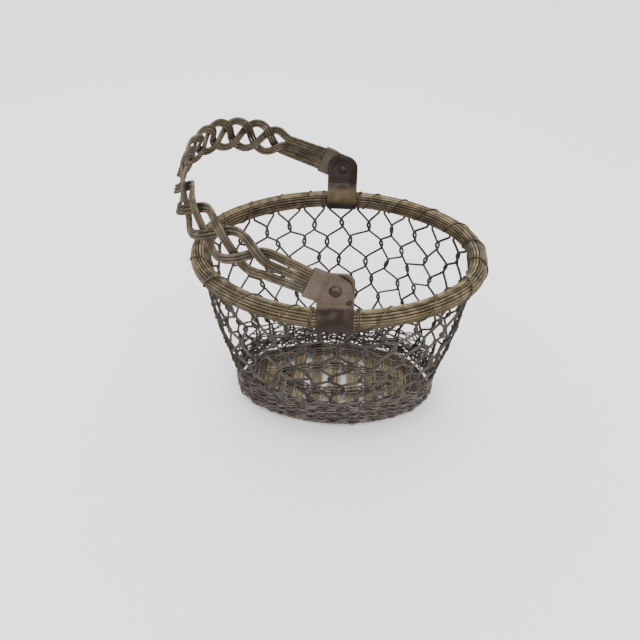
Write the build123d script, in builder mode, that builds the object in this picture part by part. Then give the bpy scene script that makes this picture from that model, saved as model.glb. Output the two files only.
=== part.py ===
"""Oval wire egg collection basket with a plaited swing handle.

Millimetres, +Z up, +X along the long axis of the oval, -Y towards the front.
The origin is the centre of the face the basket stands on.
"""
from build123d import *
from math import asin, atan, cos, hypot, pi, radians, sin, sqrt, tan
import os

os.makedirs("parts", exist_ok=True)

# ---------------------------------------------------------------- driving sizes
# Rim: one layer of parallel wires laid round a core hoop.
rim_half_length = 117.0         # to the middle of the rim bundle
rim_half_width = 92.0
rim_end_radius = 76.0
rim_height = 155.0              # middle of the rim bundle above the floor
rim_core_radius = 5.3
rim_wire_radius = 1.1
rim_wire_count = 18
rim_wire_gap = 0.06             # round a rim wire, to the core

# Binding: two wires, each wound from one clip round an end of the rim to the other clip.
binding_radius = 0.55
binding_open_turns = 9          # the widely spaced turns between the clips
binding_close_turns = 2         # the tight turns next to each clip
binding_close_pitch = 1.5
binding_start_gap = 2.0         # from the clip to the middle of the first turn
binding_turn_points = 12

# Wall of netting, as the closed skin that the netting lies in.
wall_thickness = 1.4
wall_top_inset = 3.0            # in from the middle of the rim
wall_top_gap = 0.4              # below the clips
wall_bulge = 3.6

# Woven base: foot border, border rows, floor stakes and floor weavers.
base_half_length = 93.0
base_half_width = 57.0
base_end_radius = 44.0
base_height = 27.0              # top of the woven border
foot_inset = 5.0                # of the foot border's middle, in from the base size
foot_radius = 3.2
foot_flat = 0.5                 # depth worn flat under the foot border
border_wire_radius = 0.85
border_row_count = 5
stake_wire_radius = 0.9
stake_wires = 6                 # in one group
stake_groups = 9
stake_wire_pitch = 2.0
stake_group_pitch = 17.5
end_stake_wires = 13
end_stake_pitch = 2.4
end_stake_length = 42.0
floor_weaver_insets = (18.0, 38.0)
floor_weaver_wires = 3
small_gap = 0.15                # between wires that lie on each other
bend_share = 0.45               # of the shorter run beside a bend, taken up by the bend
least_turn = 0.05               # degrees, below which a wire is straight

# Clips: a folded strap round the rim, pinched into a double ear.
clip_width = 27.5
clip_sheet = 1.2
clip_slack = 0.75               # between rim bundle and strap
ear_offset = 2.0                # outwards from the middle of the rim
ear_root = 15.5                 # above the middle of the rim
strap_pinch_below_root = 4.0    # where the two sides of the strap meet
strap_pinch_radius = 0.2
ear_top_above_pivot = 12.6
front_ear_corner = 8.0
back_ear_corner = 12.0
pivot_above_rim = 30.0
clip_rivet_radius = 1.6
clip_rivet_head_radius = 2.6
clip_rivet_proud = 0.3
front_clip_rivet_across = 10.0
back_clip_rivet_across = 1.5
clip_rivet_below_pivot = 11.4

# Pivot rivets and washers.
rivet_shoulder = 0.88           # of a head's radius, half way up
rivet_crown = 0.55              # of a head's radius, at its top
pivot_radius = 2.2
pivot_clearance = 0.05
pivot_head_radius = 4.6
pivot_head_height = 2.0
pivot_tail_radius = 3.4
pivot_tail_height = 1.6
washer_radius = 9.0
washer_thickness = 1.0

# Handle: a flat plait of three strands, three wires each, held by a ferrule at each end.
swing_gap = 0.6                 # between ear and ferrule
handle_lean = 22.0              # degrees above level, towards -X
handle_reach = 130.0            # from the pivot line to the middle of the bow
handle_arm = 60.0               # straight part of each arm
handle_toe_in = 5.0             # degrees by which the arms close towards the bow
handle_bow_radius = 140.0
strand_count = 3
strand_wires = 3
handle_wire_radius = 1.18
handle_wire_pitch = 2.5
plait_half_width = 12.6         # to the middle of a strand
plait_half_depth = 2.6
plait_thirds = 11               # arcs along one edge of the plait
plait_front_pace = 0.80         # pace of the plait at the front fan, with 1 the middle pace
plait_third_points = 6
plait_ease = 9.0                # over which a strand turns out of the fan
front_fan = 26.0                # length of the flat fan of wires beside each ferrule
back_fan = 34.0
ferrule_sheet = 0.9
ferrule_half_width = 12.2
ferrule_length = 21.0           # from the pivot to the mouth
ferrule_wire_depth = 9.0        # how far the wires go in
ferrule_fit = 0.15              # round the wires in the ferrule
ferrule_shoulder_run = 4.5      # from the flat eye up to the wires

# ---------------------------------------------------------------- derived places
rim_bundle_radius = rim_core_radius + 2 * (rim_wire_radius + rim_wire_gap)
rim_wire_circle = rim_core_radius + rim_wire_gap + rim_wire_radius
pivot_height = rim_height + pivot_above_rim
ear_middle = rim_half_width + ear_offset
ear_outer = ear_middle + clip_sheet
ear_inner = ear_middle - clip_sheet
ferrule_inner = ear_outer + swing_gap
eye_outer = ferrule_inner + 2 * ferrule_sheet
ferrule_slot = 2 * (handle_wire_radius + ferrule_fit)
handle_half_span = ferrule_inner + ferrule_sheet + ferrule_slot / 2
floor_wire_height = 2 * foot_radius - foot_flat + stake_wire_radius + small_gap
wall_foot = floor_wire_height - stake_wire_radius


# ---------------------------------------------------------------- shared geometry
def oval_centres(half_length, half_width, end_radius):
    """Distances of the end and side arc centres from the middle, for an oval of four tangent arcs."""
    along = half_length - end_radius
    rise = half_width - end_radius
    across = (along**2 - rise**2) / (2 * rise)
    return along, across


def oval_half_width_at(x, half_length, half_width, end_radius):
    """Half width of the oval at a distance x along it."""
    along, across = oval_centres(half_length, half_width, end_radius)
    side_radius = half_width + across
    meet = along + end_radius * along / hypot(along, across)
    if abs(x) <= meet:
        return sqrt(side_radius**2 - x**2) - across
    return sqrt(max(0.0, end_radius**2 - (abs(x) - along) ** 2))


def oval_corner(half_length, half_width, end_radius):
    """The point where an end arc meets a side arc, in the quarter of +X and +Y."""
    along, across = oval_centres(half_length, half_width, end_radius)
    reach = hypot(along, across)
    return along + end_radius * along / reach, end_radius * across / reach


def draw_oval(half_length, half_width, end_radius):
    """Four tangent arcs, drawn into the line that is being built."""
    x, y = oval_corner(half_length, half_width, end_radius)
    ThreePointArc((x, -y), (half_length, 0), (x, y))
    ThreePointArc((x, y), (0, half_width), (-x, y))
    ThreePointArc((-x, y), (-half_length, 0), (-x, -y))
    ThreePointArc((-x, -y), (0, -half_width), (x, -y))


def oval_rod(half_length, half_width, end_radius, height, rod_radius):
    """A closed oval ring of round rod."""
    with BuildPart() as rod:
        with BuildLine(Plane.XY.offset(height)) as path:
            draw_oval(half_length, half_width, end_radius)
        with BuildSketch(Plane(origin=(0, -half_width, height), z_dir=(1, 0, 0))):
            Circle(rod_radius)
        sweep(path=path.wires()[0])
    return rod.part


def grown_oval(half_length, half_width, end_radius, growth, height, rod_radius):
    """The ring that runs parallel to an oval, outside it by growth."""
    return oval_rod(half_length + growth, half_width + growth, end_radius + growth, height, rod_radius)


def centred(n, count, pitch):
    """Place of item n in a row of count items, measured from the middle of the row."""
    return (n - (count - 1) / 2) * pitch


def turning_points(points):
    """The points at which the route turns, with its two ends."""
    corners = [Vector(*p) for p in points]
    kept = corners[:1]
    for here, after in zip(corners[1:], corners[2:]):
        if (here - kept[-1]).get_angle(after - here) > least_turn:
            kept.append(here)
    return kept + corners[-1:]


def bend_radii(corners):
    """The largest bends that fit a row of points, one for each inner point."""
    radii = []
    for before, here, after in zip(corners, corners[1:], corners[2:]):
        run_in = here - before
        run_out = after - here
        turn = radians(run_in.get_angle(run_out))
        radii.append(bend_share * min(run_in.length, run_out.length) / tan(turn / 2))
    return radii


def bent_wire(points, wire_radius):
    """A round wire through a row of points, straight runs joined by tangent bends."""
    with BuildPart() as wire:
        with BuildLine() as path:
            corners = turning_points(points)
            FilletPolyline(*corners, radius=bend_radii(corners))
        route = path.wires()[0]
        with BuildSketch(Plane(origin=route @ 0, z_dir=route % 0)):
            Circle(wire_radius)
        sweep(path=route, transition=Transition.ROUND)
    return wire.part


def keep(part, name):
    """Label a finished piece and write it."""
    part.label = name
    export_step(part, f"parts/{name}.step")


rim = (rim_half_length, rim_half_width, rim_end_radius)
base = (base_half_length, base_half_width, base_end_radius)

# ---------------------------------------------------------------- rim
keep(oval_rod(*rim, rim_height, rim_core_radius), "rim_core_hoop")

for n in range(rim_wire_count):
    around = 2 * pi * n / rim_wire_count
    growth = rim_wire_circle * cos(around)
    height = rim_height + rim_wire_circle * sin(around)
    keep(grown_oval(*rim, growth, height, rim_wire_radius), f"rim_wire_{n + 1:02d}")


# ---------------------------------------------------------------- binding
def rim_place(travel, side):
    """Middle of the rim and its outward direction, travel from 0 at the front to 1 at the back.

    side is 1 for the +X half of the rim and -1 for the other half.
    """
    along, across = oval_centres(*rim)
    side_radius = rim_half_width + across
    side_angle = asin(along / hypot(along, across))
    end_angle = pi / 2 - side_angle
    side_run = side_radius * side_angle
    run = travel * 2 * (side_run + rim_end_radius * end_angle)
    if run <= side_run:
        turn = run / side_radius
        y = across - side_radius * cos(turn)
        return side * side_radius * sin(turn), y, side * sin(turn), -cos(turn)
    if run <= side_run + 2 * rim_end_radius * end_angle:
        turn = side_angle + (run - side_run) / rim_end_radius
        x = along + rim_end_radius * sin(turn)
        return side * x, -rim_end_radius * cos(turn), side * sin(turn), -cos(turn)
    turn = pi - (2 * (side_run + rim_end_radius * end_angle) - run) / side_radius
    x = side_radius * sin(turn)
    return side * x, -across - side_radius * cos(turn), side * sin(turn), -cos(turn)


def rim_half_run():
    """Length of half the rim, from the middle of the front to the middle of the back."""
    along, across = oval_centres(*rim)
    side_angle = asin(along / hypot(along, across))
    return 2 * ((rim_half_width + across) * side_angle + rim_end_radius * (pi / 2 - side_angle))


def binding_route(side):
    """Tight turns beside a clip, open turns round the end, and tight turns beside the other clip."""
    circle = (rim_bundle_radius + binding_radius + small_gap) / cos(pi / binding_turn_points)
    start = (clip_width / 2 + binding_start_gap) / rim_half_run()
    close_step = binding_close_pitch / rim_half_run()
    open_start = start + binding_close_turns * close_step
    open_step = (1 - 2 * open_start) / binding_open_turns
    turns = 2 * binding_close_turns + binding_open_turns
    points = []
    for n in range(turns * binding_turn_points + 1):
        turn = n / binding_turn_points
        open_turns = min(max(turn - binding_close_turns, 0), binding_open_turns)
        travel = start + (turn - open_turns) * close_step + open_turns * open_step
        x, y, out_x, out_y = rim_place(travel, side)
        around = side * 2 * pi * turn - pi / 2
        reach = circle * cos(around)
        points.append((x + reach * out_x, y + reach * out_y, rim_height + circle * sin(around)))
    return points


keep(bent_wire(binding_route(1), binding_radius), "rim_binding_right")
keep(bent_wire(binding_route(-1), binding_radius), "rim_binding_left")

# ---------------------------------------------------------------- netting wall
wall_top = rim_height - rim_bundle_radius - clip_slack - clip_sheet - wall_top_gap
wall_upper = tuple(size - wall_top_inset for size in rim)


def wall_size(height, skin):
    """Oval of the wall's middle at a height, grown by skin."""
    share = max(0.0, (height - base_height) / (wall_top - base_height))
    bulge = wall_bulge * 4 * share * (1 - share)
    return tuple(low + (high - low) * share + bulge + skin for low, high in zip(base, wall_upper))


def wall_body(skin):
    """The full solid inside the wall's middle surface grown by skin."""
    levels = [base_height + (wall_top - base_height) * n / 4 for n in range(5)]
    with BuildPart() as body:
        for height in levels:
            with BuildSketch(Plane.XY.offset(height)):
                with BuildLine():
                    draw_oval(*wall_size(height, skin))
                make_face()
        loft()
        with BuildSketch(Plane.XY.offset(wall_foot)):
            with BuildLine():
                draw_oval(*wall_size(base_height, skin))
            make_face()
        extrude(amount=base_height - wall_foot)
    return body.part


with BuildPart() as netting_wall:
    add(wall_body(wall_thickness / 2))
    add(wall_body(-wall_thickness / 2), mode=Mode.SUBTRACT)
keep(netting_wall.part, "netting_wall")

# ---------------------------------------------------------------- woven base
with BuildPart() as foot_border:
    foot = tuple(size - foot_inset for size in base)
    add(oval_rod(*foot, foot_radius - foot_flat, foot_radius))
    split(bisect_by=Plane.XY, keep=Keep.TOP)
keep(foot_border.part, "foot_border")

border_skin = wall_thickness / 2 + border_wire_radius + small_gap
border_first = wall_foot + border_wire_radius + small_gap
border_pitch = (base_height - 2 * border_wire_radius - border_first) / (border_row_count - 1)
for n in range(border_row_count):
    with BuildPart() as border_row:
        for growth in (border_skin, -border_skin):
            for lift in (0, 2 * border_wire_radius + small_gap):
                height = border_first + border_pitch * n + lift - (border_wire_radius if n else 0)
                add(grown_oval(*base, growth, height, border_wire_radius))
    keep(border_row.part, f"border_row_{n + 1}")

stake_end_inset = border_skin + border_wire_radius + stake_wire_radius + small_gap
floor_edge = tuple(size - stake_end_inset for size in base)
for n in range(stake_groups):
    with BuildPart() as stake_group:
        for wire in range(stake_wires):
            x = centred(n, stake_groups, stake_group_pitch) + centred(wire, stake_wires, stake_wire_pitch)
            reach = oval_half_width_at(x, *floor_edge)
            wire_end = (x, -reach, floor_wire_height)
            with BuildSketch(Plane(origin=wire_end, x_dir=(1, 0, 0), z_dir=(0, 1, 0))):
                Circle(stake_wire_radius)
            extrude(amount=2 * reach)
    keep(stake_group.part, f"floor_stake_group_{n + 1}")

end_stake_height = floor_wire_height - 2 * stake_wire_radius - small_gap
foot_inner = tuple(size - foot_inset - foot_radius - small_gap for size in base)
foot_inner_along = oval_centres(*foot_inner)[0]
for side, side_name in ((-1, "left"), (1, "right")):
    with BuildPart() as end_stakes:
        for wire in range(end_stake_wires):
            y = centred(wire, end_stake_wires, end_stake_pitch)
            outer = foot_inner_along + sqrt(foot_inner[2] ** 2 - y**2)
            start = side * (outer - end_stake_length)
            with BuildSketch(Plane(origin=(start, y, end_stake_height), z_dir=(side, 0, 0))):
                Circle(stake_wire_radius)
            extrude(amount=end_stake_length)
    keep(end_stakes.part, f"end_stakes_{side_name}")

for inset, place in zip(floor_weaver_insets, ("outer", "inner")):
    with BuildPart() as floor_weaver:
        for wire in range(floor_weaver_wires):
            growth = -inset - wire * (2 * border_wire_radius + small_gap)
            height = floor_wire_height + stake_wire_radius + border_wire_radius + small_gap
            add(grown_oval(*base, growth, height, border_wire_radius))
    keep(floor_weaver.part, f"floor_weaver_{place}")


# ---------------------------------------------------------------- clips
def ear_plane(facing, x, height):
    """The middle plane of an ear, seen from the front, with its origin at x and height."""
    return Plane(origin=(x, facing * ear_middle, height), x_dir=(1, 0, 0), z_dir=(0, 1, 0))


def clip(facing, ear_corner, rivet_across):
    """A strap round the rim, pinched into a double ear; facing is -1 at the front and 1 at the back."""
    strap_radius = rim_bundle_radius + clip_slack
    section = Plane(origin=(-clip_width / 2, 0, 0), x_dir=(0, 1, 0), z_dir=(1, 0, 0))
    root = rim_height + ear_root
    ear_height = pivot_height + ear_top_above_pivot - root
    with BuildPart() as piece:
        with BuildSketch(section):
            with Locations((facing * rim_half_width, rim_height)):
                Circle(strap_radius + clip_sheet)
            with Locations((facing * ear_middle, root)):
                Rectangle(2 * clip_sheet, clip_sheet)
            make_hull()
            with BuildSketch(section, mode=Mode.SUBTRACT):
                with Locations((facing * rim_half_width, rim_height)):
                    Circle(strap_radius)
                with Locations((facing * ear_middle, root - strap_pinch_below_root)):
                    Circle(strap_pinch_radius)
                make_hull()
        extrude(amount=clip_width)
        with BuildSketch(ear_plane(facing, 0, root + ear_height / 2)):
            Rectangle(clip_width, ear_height)
        extrude(amount=clip_sheet, both=True)
        top_edges = piece.edges().filter_by(Axis.Y).group_by(Axis.Z)[-1]
        fillet(top_edges, ear_corner)
        pinch_bore = (rivet_across, clip_rivet_below_pivot, clip_rivet_radius)
        for x, below, radius in ((0, 0, pivot_radius), pinch_bore):
            with BuildSketch(ear_plane(facing, x, pivot_height - below)):
                Circle(radius)
            extrude(amount=2 * clip_sheet, both=True, mode=Mode.SUBTRACT)
    return piece.part


def turned(facing, x, height, outline):
    """A turned piece on a line along Y: outline holds (distance from the middle plane, radius) pairs."""
    points = [(0, outline[0][0])]
    points += [(radius, place) for place, radius in outline]
    points += [(0, outline[-1][0])]
    section = Plane(origin=(x, 0, height), x_dir=(1, 0, 0), z_dir=(0, 0, facing))
    with BuildPart() as piece:
        with BuildSketch(section):
            with BuildLine():
                Polyline(*points, close=True)
            make_face()
        revolve(axis=Axis((x, 0, height), (0, 1, 0)))
    return piece.part


for facing, side_name, ear_corner, rivet_across in (
    (-1, "front", front_ear_corner, front_clip_rivet_across),
    (1, "back", back_ear_corner, back_clip_rivet_across),
):
    keep(clip(facing, ear_corner, rivet_across), f"{side_name}_clip")

    clip_rivet_outline = [
        (ear_inner - clip_rivet_proud, clip_rivet_radius),
        (ear_outer, clip_rivet_radius),
        (ear_outer, clip_rivet_head_radius),
        (ear_outer + clip_rivet_proud, clip_rivet_head_radius * rivet_crown),
    ]
    rivet_height = pivot_height - clip_rivet_below_pivot
    keep(turned(facing, rivet_across, rivet_height, clip_rivet_outline), f"{side_name}_clip_rivet")

    head_inner = eye_outer + swing_gap / 2
    tail_outer = ear_inner - washer_thickness
    pivot_outline = [
        (tail_outer - pivot_tail_height, pivot_tail_radius * rivet_crown),
        (tail_outer, pivot_tail_radius),
        (tail_outer, pivot_radius),
        (head_inner, pivot_radius),
        (head_inner, pivot_head_radius),
        (head_inner + pivot_head_height / 2, pivot_head_radius * rivet_shoulder),
        (head_inner + pivot_head_height, pivot_head_radius * rivet_crown),
    ]
    keep(turned(facing, 0, pivot_height, pivot_outline), f"{side_name}_pivot_rivet")

    washer_face = (0, facing * tail_outer, pivot_height)
    with BuildPart() as washer:
        with BuildSketch(Plane(origin=washer_face, x_dir=(1, 0, 0), z_dir=(0, facing, 0))):
            Circle(washer_radius)
            Circle(pivot_radius, mode=Mode.SUBTRACT)
        extrude(amount=washer_thickness)
    keep(washer.part, f"{side_name}_pivot_washer")

# ---------------------------------------------------------------- handle
pivot_point = Vector(0, 0, pivot_height)
lean = radians(handle_lean)
reach_dir = Vector(-cos(lean), 0, sin(lean))
width_dir = Vector(sin(lean), 0, cos(lean))

# The bow is a straight arm, a tight arc and a wide arc, mirrored about the middle.
toe = radians(handle_toe_in)
arm_end = (handle_arm, handle_half_span - (handle_arm - ferrule_length) * tan(toe))
bow_centre = handle_reach - handle_bow_radius
arm_normal = (-sin(toe), -cos(toe))
away = (arm_end[0] - bow_centre, arm_end[1])
# The tight arc touches the arm's end and the wide arc from inside.
corner_radius = (handle_bow_radius**2 - away[0] ** 2 - away[1] ** 2) / (
    2 * (handle_bow_radius + away[0] * arm_normal[0] + away[1] * arm_normal[1])
)
corner_centre = (arm_end[0] + corner_radius * arm_normal[0], arm_end[1] + corner_radius * arm_normal[1])
bow_turn = atan(corner_centre[1] / (corner_centre[0] - bow_centre))
corner_turn = pi / 2 - toe - bow_turn
arm_run = (arm_end[0] - ferrule_length) / cos(toe)
corner_run = corner_radius * corner_turn
half_run = arm_run + corner_run + handle_bow_radius * bow_turn


def bow_place(run):
    """Reach, span and outward direction on the middle line, a run from the front ferrule's mouth."""
    mirrored = 1 if run <= half_run else -1
    run = min(run, 2 * half_run - run)
    if run <= arm_run:
        reach = ferrule_length + run * cos(toe)
        span = handle_half_span - run * sin(toe)
        out = (sin(toe), cos(toe))
    elif run <= arm_run + corner_run:
        turn = pi / 2 - toe - (run - arm_run) / corner_radius
        out = (cos(turn), sin(turn))
        reach = corner_centre[0] + corner_radius * out[0]
        span = corner_centre[1] + corner_radius * out[1]
    else:
        turn = (half_run - run) / handle_bow_radius
        out = (cos(turn), sin(turn))
        reach = bow_centre + handle_bow_radius * out[0]
        span = handle_bow_radius * out[1]
    return reach, -mirrored * span, out[0], -mirrored * out[1]


plait_length = 2 * half_run - front_fan - back_fan
fan_half_width = strand_wires * handle_wire_pitch / sin(2 * pi / 3)


def plait_turns(run):
    """Turns of the plait up to a run along it: longer at the front, and eased out of both fans."""
    at_start = max(0.0, plait_ease - max(0.0, run)) ** 2 / (2 * plait_ease)
    at_end = max(0.0, plait_ease - max(0.0, plait_length - run)) ** 2 / (2 * plait_ease)
    eased = min(max(run, 0.0), plait_length) - plait_ease / 2 + at_start - at_end
    share = eased / (plait_length - plait_ease)
    return plait_thirds / strand_count * share * (plait_front_pace + (1 - plait_front_pace) * share)


def strand_place(strand, run):
    """Sideways and outward place of a strand's middle, a run from the front ferrule's mouth.

    Sideways the strand follows a sine, and outwards a sine of twice the speed, so the three
    strands pass over and under in turn. In the two fans the strands lie side by side.
    """
    past_fan = run - front_fan
    phase = 2 * pi * (plait_turns(past_fan) + strand / strand_count)
    edge = min(past_fan, plait_length - past_fan)
    opening = min(1.0, max(0.0, edge * plait_thirds / plait_length))
    opening *= opening * (3 - 2 * opening)
    half_width = fan_half_width + (plait_half_width - fan_half_width) * opening
    fan_left = max(0.0, -past_fan / front_fan, (past_fan - plait_length) / back_fan)
    return half_width * sin(phase), plait_half_depth * (1 - fan_left) * sin(2 * phase)


def wire_offset(strand, wire, run):
    """Run, sideways and outward offsets of one wire, beside the middle of its strand."""
    step = 0.5
    sideways, outward = strand_place(strand, run)
    slope = (strand_place(strand, run + step)[0] - strand_place(strand, run - step)[0]) / (2 * step)
    stretch = hypot(1, slope)
    shift = centred(wire, strand_wires, handle_wire_pitch)
    return run - shift * slope / stretch, sideways + shift / stretch, outward


def handle_point(run, sideways, outward):
    """A point of the handle in the basket's own frame."""
    reach, span, out_reach, out_span = bow_place(run)
    place = pivot_point + reach_dir * (reach + outward * out_reach) + width_dir * sideways
    return tuple(place + Vector(0, span + outward * out_span, 0))


def ferrule_point(facing, reach, sideways):
    """A point of the flat fan of wires where it lies in a ferrule."""
    place = pivot_point + reach_dir * reach + width_dir * sideways
    return tuple(place + Vector(0, facing * handle_half_span, 0))


def handle_wire_route(strand, wire):
    """All the points of one wire, from inside the front ferrule to inside the back one."""
    inside = ferrule_length - ferrule_wire_depth
    first_side = wire_offset(strand, wire, 0)[1]
    last_side = wire_offset(strand, wire, 2 * half_run)[1]
    steps = plait_thirds * plait_third_points
    points = [ferrule_point(-1, inside, first_side), ferrule_point(-1, ferrule_length, first_side)]
    points.append(handle_point(*wire_offset(strand, wire, front_fan / 2)))
    for n in range(steps + 1):
        points.append(handle_point(*wire_offset(strand, wire, front_fan + plait_length * n / steps)))
    points.append(handle_point(*wire_offset(strand, wire, 2 * half_run - back_fan / 2)))
    points += [ferrule_point(1, ferrule_length, last_side), ferrule_point(1, inside, last_side)]
    return points


for strand in range(strand_count):
    for wire in range(strand_wires):
        name = f"handle_strand_{strand + 1}_wire_{wire + 1}"
        keep(bent_wire(handle_wire_route(strand, wire), handle_wire_radius), name)


def ferrule(facing):
    """A folded sheet round the ends of the wires, pressed flat round the pivot at its other end."""
    eye_depth = 2 * ferrule_sheet
    mouth_depth = eye_depth + ferrule_slot
    shoulder = ferrule_length - ferrule_wire_depth - small_gap
    profile = [
        (-ferrule_half_width, 0),
        (ferrule_length, 0),
        (ferrule_length, mouth_depth),
        (shoulder, mouth_depth),
        (shoulder - ferrule_shoulder_run, eye_depth),
        (-ferrule_half_width, eye_depth),
    ]
    low_side = pivot_point - width_dir * ferrule_half_width
    section = Plane(origin=low_side, x_dir=tuple(reach_dir), z_dir=tuple(width_dir))
    eye_centre = (0, facing * ferrule_inner, pivot_height)
    face = Plane(origin=eye_centre, x_dir=tuple(reach_dir), z_dir=(0, facing, 0))
    fan_half = (strand_count * strand_wires - 1) * handle_wire_pitch / 2
    slot_half = fan_half + handle_wire_radius + ferrule_fit
    mouth_points = [(reach, -facing * (ferrule_inner + depth)) for reach, depth in profile]
    with BuildPart() as piece:
        with BuildSketch(section):
            with BuildLine():
                Polyline(*mouth_points, close=True)
            make_face()
        extrude(amount=2 * ferrule_half_width)
        with BuildSketch(face):
            Circle(ferrule_half_width)
            with Locations((ferrule_length / 2, 0)):
                Rectangle(ferrule_length, 2 * ferrule_half_width)
        extrude(amount=mouth_depth, mode=Mode.INTERSECT)
        with BuildSketch(face.offset(ferrule_sheet)):
            with Locations((shoulder + small_gap / 2 + ferrule_length / 2, 0)):
                Rectangle(ferrule_length, 2 * slot_half)
        extrude(amount=ferrule_slot, mode=Mode.SUBTRACT)
        with BuildSketch(face):
            Circle(pivot_radius + pivot_clearance)
        extrude(amount=mouth_depth, mode=Mode.SUBTRACT)
    return piece.part


keep(ferrule(-1), "front_ferrule")
keep(ferrule(1), "back_ferrule")
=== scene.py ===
"""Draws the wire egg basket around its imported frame: rim, netting, woven base, clips and plaited handle."""
from math import atan, cos, pi, radians, sin, tan

import bpy
import numpy as np
from bpy.props import FloatProperty, FloatVectorProperty, IntProperty, PointerProperty
from mathutils import Matrix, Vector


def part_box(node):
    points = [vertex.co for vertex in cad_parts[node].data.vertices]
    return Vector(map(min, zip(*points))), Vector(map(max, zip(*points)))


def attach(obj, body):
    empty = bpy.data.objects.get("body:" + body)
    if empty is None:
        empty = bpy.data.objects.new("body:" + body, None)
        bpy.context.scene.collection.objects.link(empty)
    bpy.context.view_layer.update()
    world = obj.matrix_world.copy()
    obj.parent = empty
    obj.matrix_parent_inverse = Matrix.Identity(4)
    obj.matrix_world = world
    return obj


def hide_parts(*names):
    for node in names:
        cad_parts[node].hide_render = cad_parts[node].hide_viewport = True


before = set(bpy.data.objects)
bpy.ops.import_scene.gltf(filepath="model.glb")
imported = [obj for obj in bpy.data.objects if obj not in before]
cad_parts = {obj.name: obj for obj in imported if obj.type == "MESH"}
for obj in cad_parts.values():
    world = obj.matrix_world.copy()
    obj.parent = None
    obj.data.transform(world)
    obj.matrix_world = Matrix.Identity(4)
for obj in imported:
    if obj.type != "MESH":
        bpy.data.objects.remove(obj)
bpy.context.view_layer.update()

bl_info = {
    "name": "Wire egg basket",
    "version": (1, 0, 0),
    "blender": (4, 5, 0),
    "location": "View3D > Sidebar > Egg Basket",
    "description": "Makes the drawn wires, netting, woven base and finishes of an oval egg basket",
    "category": "Object",
}

MM = 0.001
UP = np.array([0, 0, 1.0])


def middle_height(node):
    """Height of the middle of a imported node's box."""
    low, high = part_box(node)
    return (low[2] + high[2]) / 2


# Ovals are given by their half length, half width and end radius.
RIM_OVAL = np.array([117.0, 92.0, 76.0]) * MM
BASE_OVAL = np.array([93.0, 57.0, 44.0]) * MM
RIM_HEIGHT = middle_height("rim_core_hoop")
PIVOT_HEIGHT = middle_height("front_pivot_washer")
WALL_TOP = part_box("netting_wall")[1][2]
WALL_IN_FROM_RIM = 3 * MM
WALL_BULGE = 3.6 * MM
BORDER_TOP = 27 * MM
BORDER_ROWS = 5
FOOT_RADIUS = 3.2 * MM
FOOT_IN = 5 * MM             # of the foot border's middle, from the base's oval
FOOT_WORN = 0.5 * MM         # depth worn flat under the foot


# ------------------------------------------------------------------ shapes
def unit(v):
    """Each vector divided by its length."""
    return v / np.maximum(np.linalg.norm(v, axis=-1, keepdims=True), 1e-12)


def smooth(t):
    """Rises from 0 to 1 with level ends: t * t * (3 - 2 t), held outside 0 to 1."""
    t = np.clip(t, 0.0, 1.0)
    return t * t * (3 - 2 * t)


def waves(place, rng, size, periods):
    """A gentle closed wobble: the sum over periods n of sin(2 pi n place + a random start), divided by n."""
    total = np.zeros_like(place)
    for n in periods:
        total = total + np.sin(2 * pi * (n * place + rng.random())) / n
    return size * total / sum(1 / n for n in periods)


def oval_at(share, half_length, half_width, end_radius):
    """Point and outward direction of an oval of four tangent arcs.

    share is 0 at the front middle, a quarter at the right end and half at the back. Within a quarter
    the point turns about the side arc's centre first, and about the end arc's centre after it.
    """
    sizes = np.broadcast_arrays(share, half_length, half_width, end_radius)
    share, half_length, half_width, end_radius = sizes
    along = half_length - end_radius
    rise = half_width - end_radius
    across = (along**2 - rise**2) / (2 * rise)
    side_radius = half_width + across
    side_turn = np.arctan2(along, across)
    side_run = side_radius * side_turn
    quarter_run = side_run + end_radius * (pi / 2 - side_turn)
    quarter = np.mod(share, 1.0) * 4
    index = np.floor(quarter).astype(int) % 4
    part = quarter - np.floor(quarter)
    run = np.where(index % 2 == 0, part, 1 - part) * quarter_run
    on_side = run <= side_run
    turn = np.where(on_side, run / side_radius, side_turn + (run - side_run) / end_radius)
    x = np.where(on_side, side_radius * np.sin(turn), along + end_radius * np.sin(turn))
    y = np.where(on_side, side_radius * np.cos(turn) - across, end_radius * np.cos(turn))
    sign_x = np.where(index < 2, 1, -1)
    sign_y = np.where((index == 1) | (index == 2), 1, -1)
    point = np.stack([sign_x * x, sign_y * y], -1)
    outward = np.stack([sign_x * np.sin(turn), sign_y * np.cos(turn)], -1)
    return point, outward


def outer_side(out, around):
    """The direction from the middle of a ring to a point turned around it: cos out + sin up."""
    return out * np.cos(around)[:, None] + UP * np.sin(around)[:, None]


def on_oval(share, oval, outward, height):
    """Points at a distance outward of an oval, at a height; oval holds three sizes, plain or arrays."""
    flat, out = oval_at(share, oval[0], oval[1], oval[2])
    flat = flat + out * np.asarray(outward)[..., None]
    height = np.broadcast_to(height, flat.shape[:-1])
    points = np.concatenate([flat, height[..., None]], -1)
    normal = np.concatenate([out, np.zeros(out.shape[:-1] + (1,))], -1)
    return points, normal


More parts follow.
